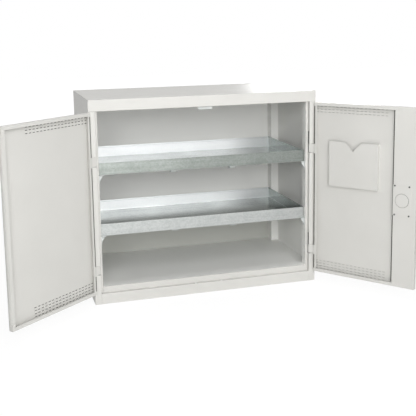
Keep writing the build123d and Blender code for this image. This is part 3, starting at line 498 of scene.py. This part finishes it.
def louvres(door):
    """All hoods of one door as one piece."""
    hand, angle, hood_shade = DOORS[door]
    rows = [LOW_ROW + SLOT_ROW_PITCH * row for row in range(LOW_ROWS)]
    rows += [TOP_ROW - SLOT_ROW_PITCH * row for row in range(TOP_ROWS)]
    shell = bmesh.new()
    for row in rows:
        for column in range(SLOT_COLUMNS):
            add_hood(shell, hand, angle, SLOT_FIRST + SLOT_PITCH * column, row)
    piece = piece_of(door + "_louvres", shell)
    # A darker copy of the painted shade, for its noise.
    thin = (*(DARKER_HOOD_SHADE_SHARE * part for part in hood_shade[:3]), 1.0)
    piece.data.materials.append(materials["powder_coat"])
    # The hoods' insides carry painted shade.
    piece.data.materials.append(powder_coat(door + "_primer", hood_shade, thin, HOOD_SHADE_GRAIN))
    sheet = piece.modifiers.new("sheet", "SOLIDIFY")
    sheet.thickness = HOOD_SHEET
    sheet.offset = 0.0
    sheet.material_offset = 1
    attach(piece, door)


for door in DOORS:
    louvres(door)


# Gap shade: the photograph shows a thin dark line beside each post and beside the lock channel;
# thin dark strips of painted shade stand in for it.
LEFT_LIP, RIGHT_LIP, CHANNEL_FOOT = 0.0105, 0.0101, -0.0071
GAP_SHADE_THICKNESS, GAP_SHADE_WIDTH, GAP_SHADE_STARTS = 0.0003, 0.0048, 0.0178
GAP_SHADE_TAPER, GAP_SHADE_INSET, GAP_SHADE_STEPS = 0.0006, 0.0003, 6
CHANNEL_WALL, CHANNEL_GAP_SHADE_BACK = 0.409, 0.0105
TAB_HEIGHTS = ((0.1333, 0.1780), (0.6183, 0.6630))
DOOR_GAP_SHADE_ENDS = (0.066, 0.841)


def join_rings(shell, rings):
    """Faces between each ring of points and the next."""
    for first, second in zip(rings, rings[1:]):
        for i in range(len(first)):
            j = (i + 1) % len(first)
            shell.faces.new((first[i], first[j], second[j], second[i]))


def gap_shade(name, door, near, face, spans):
    """A thin dark strip of painted shade with rounded sides, stuck upright on a door, in one or
    more lengths.
    """
    hand, angle, _ = DOORS[door]
    half = GAP_SHADE_WIDTH / 2
    shell = bmesh.new()
    for low, high in spans:
        rings = []
        for z in (low, low + GAP_SHADE_TAPER, high - GAP_SHADE_TAPER, high):
            inset = GAP_SHADE_INSET if z in (low, high) else 0.0
            ring = []
            for i in range(GAP_SHADE_STEPS + 1):
                turn = math.pi * i / GAP_SHADE_STEPS
                u = near + half - (half - inset) * math.cos(turn)
                v = face + (GAP_SHADE_THICKNESS - inset / 2) * min(1.0, 2.0 * math.sin(turn))
                ring.append(shell.verts.new(door_point(hand, angle, u, v, z)))
            rings.append(ring)
        join_rings(shell, rings)
        shell.faces.new(rings[0])
        shell.faces.new(rings[-1])
    bmesh.ops.recalc_face_normals(shell, faces=shell.faces)
    piece = piece_of(name, shell)
    piece.data.materials.append(materials["gap_shade"])
    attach(piece, door)


door_spans = [
    (DOOR_GAP_SHADE_ENDS[0], TAB_HEIGHTS[0][0]),
    (TAB_HEIGHTS[0][1], TAB_HEIGHTS[1][0]),
    (TAB_HEIGHTS[1][1], DOOR_GAP_SHADE_ENDS[1]),
]
gap_shade("left_door_gap_shade", "left_door", GAP_SHADE_STARTS, LEFT_LIP, door_spans)
gap_shade("right_door_gap_shade", "right_door", GAP_SHADE_STARTS, RIGHT_LIP, door_spans)
channel_gap_shade_starts = CHANNEL_WALL - CHANNEL_GAP_SHADE_BACK
gap_shade("channel_gap_shade", "right_door", channel_gap_shade_starts, CHANNEL_FOOT, [DOOR_GAP_SHADE_ENDS])


# Stiffener ends: the photograph shows no open ends under the trays' front walls.
END_MIDDLE, END_WIDTH, END_SHEET, END_GAP = 0.140, 0.0272, 0.0010, 0.0014


def stiffener_ends(tray):
    """The closed front ends of a tray's two hat channels, as one piece."""
    low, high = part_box(tray + "_stiffeners")
    shell = bmesh.new()
    for side in (-1, 1):
        size = (END_WIDTH, END_SHEET, high[2] - low[2] - 2 * END_GAP)
        middle = (side * END_MIDDLE, low[1] + 2 * END_SHEET, (low[2] + high[2]) / 2)
        place = Matrix.Translation(middle) @ Matrix.Diagonal((*size, 1.0))
        bmesh.ops.create_cube(shell, size=1.0, matrix=place)
    piece = piece_of(tray + "_stiffener_ends", shell)
    piece.data.materials.append(materials["dull_zinc"])
    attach(piece, "carcass")


for tray in ("upper_tray", "lower_tray"):
    stiffener_ends(tray)


# Disc rim shade: the photograph shows the cover disc's rim as a dark line; a thin ring of painted
# shade stands in for it.
LOCK_LINE, LOCK_HEIGHT, PLATE_FACE = 0.450, 0.445, 0.0113
RIM_SHADE_STEPS = 64
RIM_SHADE_INSIDE, RIM_SHADE_OUTSIDE, RIM_SHADE_RISE, RIM_SHADE_LIP = 0.0301, 0.0316, 0.0006, 0.0001


def disc_rim_shade():
    """A thin dark ring of painted shade on the lock plate, close round its cover disc."""
    hand, angle, _ = DOORS["right_door"]
    profile = (
        (RIM_SHADE_INSIDE, 0.0),
        (RIM_SHADE_INSIDE, RIM_SHADE_RISE),
        (RIM_SHADE_OUTSIDE, RIM_SHADE_LIP),
        (RIM_SHADE_OUTSIDE, 0.0),
    )
    shell = bmesh.new()
    rings = []
    for i in range(RIM_SHADE_STEPS):
        turn = 2.0 * math.pi * i / RIM_SHADE_STEPS
        ring = []
        for radius, rise in profile:
            u = LOCK_LINE + radius * math.cos(turn)
            z = LOCK_HEIGHT + radius * math.sin(turn)
            ring.append(shell.verts.new(door_point(hand, angle, u, PLATE_FACE + rise, z)))
        rings.append(ring)
    join_rings(shell, rings + rings[:1])
    bmesh.ops.recalc_face_normals(shell, faces=shell.faces)
    piece = piece_of("cover_disc_rim_shade", shell)
    piece.data.materials.append(materials["gap_shade"])
    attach(piece, "right_door")


disc_rim_shade()


# Floor: it keeps the cupboard's soft shadow and shows almost white to the camera and to metal.
FLOOR_HALF, FLOOR_HEIGHT = 14.0, -0.0003
FLOOR_TONE, FLOOR_WHITE = tone(232, 232, 230), 1.06
NEAR_FLOOR, FAR_FLOOR, NEAR_WHITE_SHARE = 1.6, 5.0, 0.87


def floor_material():
    """Plain paper under the light, blended with an even white that grows with distance."""
    s = material_shader("floor")
    paper = s.node("ShaderNodeBsdfDiffuse")
    paper.inputs["Color"].default_value = FLOOR_TONE
    white = s.node("ShaderNodeEmission")
    white.inputs["Strength"].default_value = FLOOR_WHITE
    away = s.node("ShaderNodeVectorMath", operation="LENGTH")
    s.join(s.place(), away.inputs[0])
    share = s.spread(away.outputs["Value"], NEAR_FLOOR, FAR_FLOOR, NEAR_WHITE_SHARE, 1.0)
    blend = s.node("ShaderNodeMixShader")
    s.join(s.math("MULTIPLY", s.seen(), share), blend.inputs["Fac"])
    s.join(paper.outputs["BSDF"], blend.inputs[1])
    s.join(white.outputs["Emission"], blend.inputs[2])
    s.join(blend.outputs["Shader"], s.output.inputs["Surface"])
    return s.owner


sheet = bmesh.new()
bmesh.ops.create_grid(sheet, x_segments=1, y_segments=1, size=FLOOR_HALF)
bmesh.ops.translate(sheet, verts=sheet.verts, vec=(0.0, 0.0, FLOOR_HEIGHT))
floor = piece_of("floor", sheet)
floor.data.materials.append(floor_material())


# World: white to the camera, to metal and through openings, and a soft studio light otherwise.
STUDIO_LIGHT, STUDIO_WHITE = 0.08, 1.0
sky = Shader(bpy.data.worlds.new("studio"), "ShaderNodeOutputWorld")
scene.world = sky.owner
ground = sky.node("ShaderNodeBackground")
ground.inputs["Color"].default_value = tone(255, 255, 255)
sky.join(sky.spread(sky.seen(), 0.0, 1.0, STUDIO_LIGHT, STUDIO_WHITE), ground.inputs["Strength"])
sky.join(ground.outputs["Background"], sky.output.inputs["Surface"])


def softbox(name, place, aim, size, power):
    """A square area lamp pointing at a place."""
    lamp = bpy.data.lights.new(name, "AREA")
    lamp.shape = "SQUARE"
    lamp.size = size
    lamp.energy = power
    holder = link(bpy.data.objects.new(name, lamp))
    holder.location = place
    toward = Vector(aim) - Vector(place)
    holder.rotation_mode = "QUATERNION"
    holder.rotation_quaternion = toward.to_track_quat("-Z", "Y")


# Each lamp: its place, what it points at, its side and its watts.
OPENING = (0.0, 0.2, 0.5)
softbox("key", (-0.1, -3.6, 2.9), OPENING, 2.6, 74.0)
softbox("low", (-0.1, -4.3, 0.8), OPENING, 2.0, 57.0)
softbox("key_left", (-2.0, -3.9, 2.0), OPENING, 1.2, 43.0)
softbox("key_right", (1.8, -3.9, 2.0), OPENING, 1.2, 19.0)
softbox("side_left", (-4.0, 0.6, 1.2), (-0.5, 0.3, 0.5), 1.2, 16.0)
softbox("rear", (2.2, 3.8, 1.0), (0.1, 0.4, 0.45), 1.2, 80.0)
softbox("overhead", (0.0, 0.2, 3.6), (0.0, 0.26, 0.9), 2.0, 32.0)
